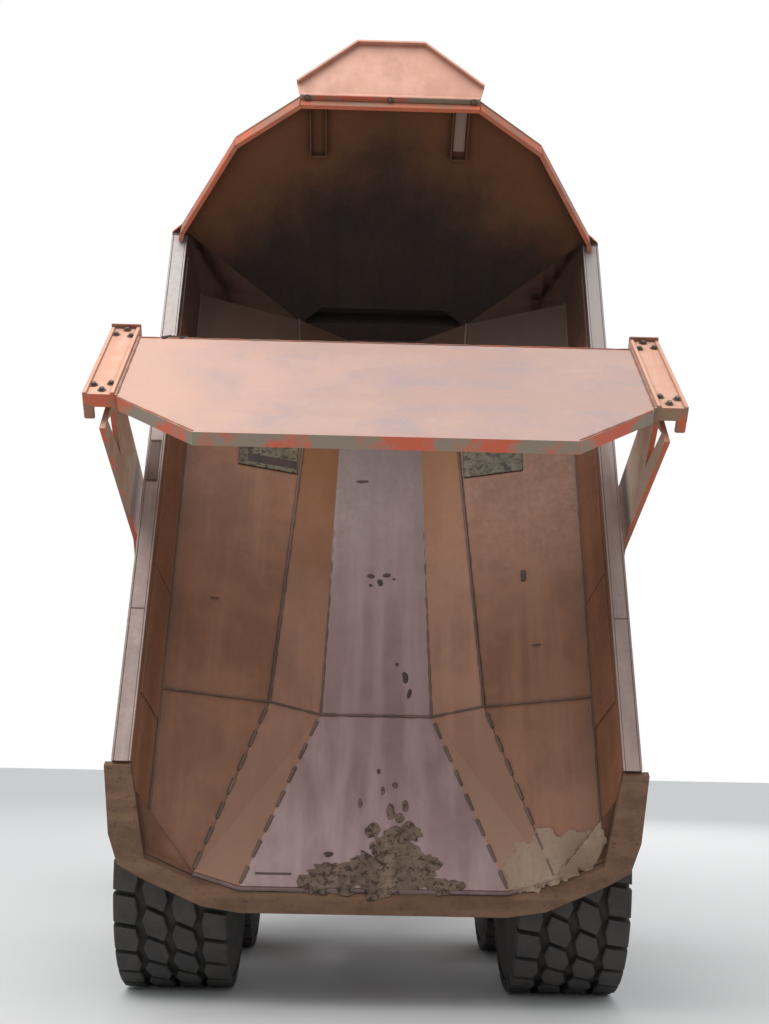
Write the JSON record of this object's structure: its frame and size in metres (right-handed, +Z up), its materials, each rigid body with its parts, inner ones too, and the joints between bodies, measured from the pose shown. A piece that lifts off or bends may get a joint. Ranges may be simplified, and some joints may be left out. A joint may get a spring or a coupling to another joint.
{
  "type": "articulated dump truck",
  "caption": "Articulated hauler with a hinged frame, its open-topped steel bed tipped up on hoist cylinders and its tailgate swung open over the load space.",
  "frame": {"origin": "bottom centre of the bounding box, on the ground", "axes": "+X to the truck's right, +Y forward, +Z up"},
  "size_m": [3.626, 11.7476, 6.5808],
  "materials": {
    "faded_paint": "faded orange paint, scratched and dusty",
    "orange_paint": "orange paint, muddy",
    "worn_steel": "worn and rusted wear plate with dried mud",
    "chassis_paint": "dark grey paint, dusty",
    "bare_steel": "greased steel",
    "rod_chrome": "polished",
    "tyre_rubber": "dusty rubber",
    "window_glass": "clear tinted",
    "lamp_lens": "clear lens",
    "tail_lens": "red lens",
    "black_trim": "matt"
  },
  "bodies": {
    "rear_frame": {"rear_frame": "chassis_paint", "hinge_pins": "bare_steel", "hoist_feet": "chassis_paint", "rear_axles": "chassis_paint", "bogie_beams": "chassis_paint", "prop_shafts": "bare_steel", "tail_lamps": "tail_lens"},
    "bed": {"bed_floor": "worn_steel", "bed_sides": "worn_steel", "bed_rim": "worn_steel", "bed_front": "worn_steel", "bed_underframe": "worn_steel", "spill_guard": "faded_paint", "gate_pins": "bare_steel"},
    "tailgate": {"gate_plate": "faded_paint", "gate_arms": "orange_paint"},
    "hoist_barrel": {"hoist_barrels": "chassis_paint"},
    "hoist_rod": {"hoist_rods": "rod_chrome"},
    "hitch": {"hitch": "chassis_paint"},
    "front_frame": {"front_frame": "chassis_paint", "frame_pins": "bare_steel", "front_axle": "chassis_paint", "cab_shell": "orange_paint", "cab_roof": "faded_paint", "cab_glass": "window_glass", "seat": "black_trim", "console": "black_trim", "engine_block": "chassis_paint", "radiator": "chassis_paint", "bumper": "chassis_paint", "head_lamps": "lamp_lens", "fenders": "orange_paint", "steps": "chassis_paint", "tanks": "chassis_paint", "handrails": "faded_paint", "mirrors": "black_trim", "exhaust": "chassis_paint"},
    "cab_door": {"cab_door": "orange_paint", "door_glass": "window_glass"},
    "hood": {"hood": "faded_paint", "grille": "chassis_paint"},
    "steer_barrel_left": {"steer_barrel_left": "chassis_paint"},
    "steer_rod_left": {"steer_rod_left": "rod_chrome"},
    "steer_barrel_right": {"steer_barrel_right": "chassis_paint"},
    "steer_rod_right": {"steer_rod_right": "rod_chrome"},
    "wheel_front_left": {"tyre_front_left": "tyre_rubber", "rim_front_left": "chassis_paint"},
    "wheel_front_right": {"tyre_front_right": "tyre_rubber", "rim_front_right": "chassis_paint"},
    "wheel_mid_left": {"tyre_mid_left": "tyre_rubber", "rim_mid_left": "chassis_paint"},
    "wheel_mid_right": {"tyre_mid_right": "tyre_rubber", "rim_mid_right": "chassis_paint"},
    "wheel_rear_left": {"tyre_rear_left": "tyre_rubber", "rim_rear_left": "chassis_paint"},
    "wheel_rear_right": {"tyre_rear_right": "tyre_rubber", "rim_rear_right": "chassis_paint"}
  },
  "joints": [
    {"name": "bed_lift", "type": "hinge", "parent": "rear_frame", "child": "bed", "pos_m": [0, -3.72617, 1.6], "axis": [1, 0, 0], "range_deg": [-70, 0]},
    {"name": "tailgate_swing", "type": "hinge", "parent": "bed", "child": "tailgate", "pos_m": [0, -3.59152, 2.78863], "axis": [1, 0, 0], "range_deg": [0, 82.7]},
    {"name": "hoist_swing", "type": "hinge", "parent": "rear_frame", "child": "hoist_barrel", "pos_m": [0, -0.42617, 1], "axis": [1, 0, 0], "range_deg": [0, 10]},
    {"name": "hoist_slide", "type": "slide", "parent": "hoist_barrel", "child": "hoist_rod", "axis": [0, -0.8524, 0.5229], "range_m": [-1.405, 0]},
    {"name": "frame_roll", "type": "hinge", "parent": "rear_frame", "child": "hitch", "pos_m": [0, 0.84383, 1.12], "axis": [0, 1, 0], "range_deg": [-15, 15]},
    {"name": "steering", "type": "hinge", "parent": "hitch", "child": "front_frame", "pos_m": [0, 1.62383, 1.12], "axis": [0, 0, 1], "range_deg": [-45, 45]},
    {"name": "cab_door_hinge", "type": "hinge", "parent": "front_frame", "child": "cab_door", "pos_m": [-0.868, 2.78783, 2.7], "axis": [0, 0, 1], "range_deg": [-85, 0]},
    {"name": "hood_lift", "type": "hinge", "parent": "front_frame", "child": "hood", "pos_m": [0, 5.69383, 1.48], "axis": [1, 0, 0], "range_deg": [-55, 0]},
    {"name": "steer_swing_left", "type": "hinge", "parent": "front_frame", "child": "steer_barrel_left", "pos_m": [-0.65, 2.87383, 1.32], "axis": [0, 0, 1], "range_deg": [-5, 5]},
    {"name": "steer_slide_left", "type": "slide", "parent": "steer_barrel_left", "child": "steer_rod_left", "axis": [0.1451, -0.9894, 0], "range_m": [-0.34, 0.34]},
    {"name": "steer_swing_right", "type": "hinge", "parent": "front_frame", "child": "steer_barrel_right", "pos_m": [0.65, 2.87383, 1.32], "axis": [0, 0, 1], "range_deg": [-5, 5]},
    {"name": "steer_slide_right", "type": "slide", "parent": "steer_barrel_right", "child": "steer_rod_right", "axis": [-0.1451, -0.9894, 0], "range_m": [-0.34, 0.34]},
    {"name": "wheel_front_left_spin", "type": "hinge", "parent": "front_frame", "child": "wheel_front_left", "pos_m": [-1.325, 2.92383, 0.9375], "axis": [1, 0, 0], "continuous": true},
    {"name": "wheel_front_right_spin", "type": "hinge", "parent": "front_frame", "child": "wheel_front_right", "pos_m": [1.325, 2.92383, 0.9375], "axis": [1, 0, 0], "continuous": true},
    {"name": "wheel_mid_left_spin", "type": "hinge", "parent": "rear_frame", "child": "wheel_mid_left", "pos_m": [-1.325, -1.37617, 0.9375], "axis": [1, 0, 0], "continuous": true},
    {"name": "wheel_mid_right_spin", "type": "hinge", "parent": "rear_frame", "child": "wheel_mid_right", "pos_m": [1.325, -1.37617, 0.9375], "axis": [1, 0, 0], "continuous": true},
    {"name": "wheel_rear_left_spin", "type": "hinge", "parent": "rear_frame", "child": "wheel_rear_left", "pos_m": [-1.325, -3.32617, 0.9375], "axis": [1, 0, 0], "continuous": true},
    {"name": "wheel_rear_right_spin", "type": "hinge", "parent": "rear_frame", "child": "wheel_rear_right", "pos_m": [1.325, -3.32617, 0.9375], "axis": [1, 0, 0], "continuous": true}
  ],
  "couplings": [
    {"joint": "tailgate_swing", "follows": "bed_lift", "ratio": -1.18},
    {"joint": "hoist_swing", "follows": "bed_lift", "ratio": -0.1418},
    {"joint": "hoist_slide", "follows": "bed_lift", "m_per_rad": 1.1506},
    {"joint": "steer_swing_left", "follows": "steering", "ratio": -0.0915},
    {"joint": "steer_slide_left", "follows": "steering", "m_per_rad": -0.4282},
    {"joint": "steer_swing_right", "follows": "steering", "ratio": -0.0915},
    {"joint": "steer_slide_right", "follows": "steering", "m_per_rad": 0.4282}
  ]
}
